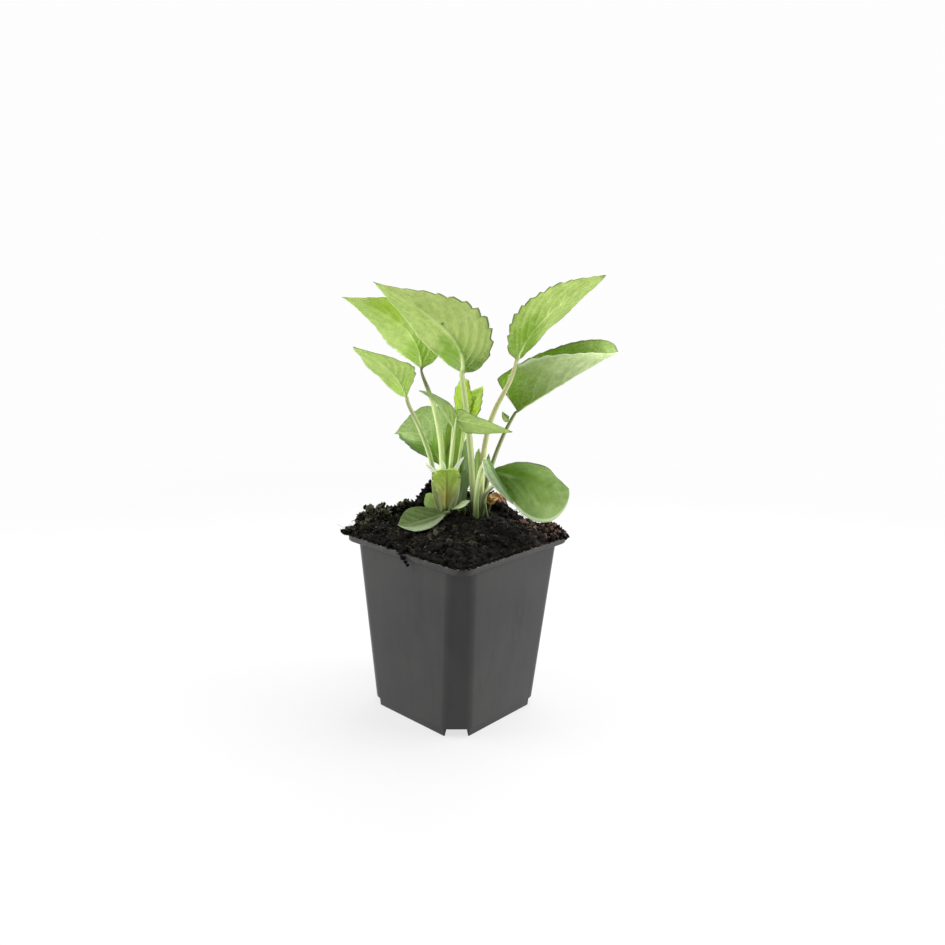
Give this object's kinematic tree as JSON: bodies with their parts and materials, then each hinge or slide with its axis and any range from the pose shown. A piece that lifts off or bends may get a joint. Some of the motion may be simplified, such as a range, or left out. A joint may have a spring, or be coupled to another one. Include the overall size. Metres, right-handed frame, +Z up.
{
  "type": "potted purple coneflower plant, young, not in flower",
  "caption": "Young purple coneflower with toothed leaves on upright stems, growing from compost in a tapered square nursery pot.",
  "frame": {"origin": "on the standing surface, on the pot's axis, which is the middle of the whole plant's width and depth to about a millimetre", "axes": "+Z up; +X and +Y are square to two neighbouring sides of the pot, and the tallest leaf's tip leans out between them"},
  "size_m": [0.1233, 0.1245, 0.2433],
  "materials": {
    "pot_plastic": "satin, fine moulding grain",
    "soil": "damp peat compost with bark and fibre",
    "leaf_tall_centre": "living leaf, satin, veined",
    "leaf_tall_left": "living leaf, satin, veined",
    "leaf_small_left": "living leaf, satin, veined",
    "leaf_tall_right": "living leaf, satin, veined",
    "leaf_long_right": "living leaf, satin, veined",
    "leaf_slim_left": "living leaf, satin, veined",
    "leaf_slim_right": "living leaf, satin, veined",
    "leaf_young_bright": "living leaf, satin, veined",
    "leaf_young_side": "living leaf, satin, veined",
    "leaf_round_back": "living leaf, satin, veined",
    "leaf_round_right": "living leaf, satin, veined",
    "leaf_low_front": "living leaf, satin, veined",
    "leaf_young_front": "living leaf, satin, veined",
    "leaf_round_small": "living leaf, satin, veined",
    "leaf_low_pale": "living leaf, satin, veined",
    "leaf_withered": "living leaf, satin, veined",
    "leaf_young_grey": "living leaf, satin, veined",
    "shoot_tip_centre": "living leaf, satin, veined",
    "shoot_tip_right": "living leaf, satin, veined",
    "shoot_stalk_right": "living leaf, satin, veined"
  },
  "bodies": {
    "root": {"pot": "pot_plastic", "soil": "soil", "leaf_tall_centre": "leaf_tall_centre", "leaf_tall_left": "leaf_tall_left", "leaf_small_left": "leaf_small_left", "leaf_tall_right": "leaf_tall_right", "leaf_long_right": "leaf_long_right", "leaf_slim_left": "leaf_slim_left", "leaf_slim_right": "leaf_slim_right", "leaf_young_bright": "leaf_young_bright", "leaf_young_side": "leaf_young_side", "leaf_round_back": "leaf_round_back", "leaf_round_right": "leaf_round_right", "leaf_low_front": "leaf_low_front", "leaf_young_front": "leaf_young_front", "leaf_round_small": "leaf_round_small", "leaf_low_pale": "leaf_low_pale", "leaf_withered": "leaf_withered", "leaf_young_grey": "leaf_young_grey", "shoot_tip_centre": "shoot_tip_centre", "shoot_tip_right": "shoot_tip_right", "shoot_stalk_right": "shoot_stalk_right"}
  },
  "joints": []
}
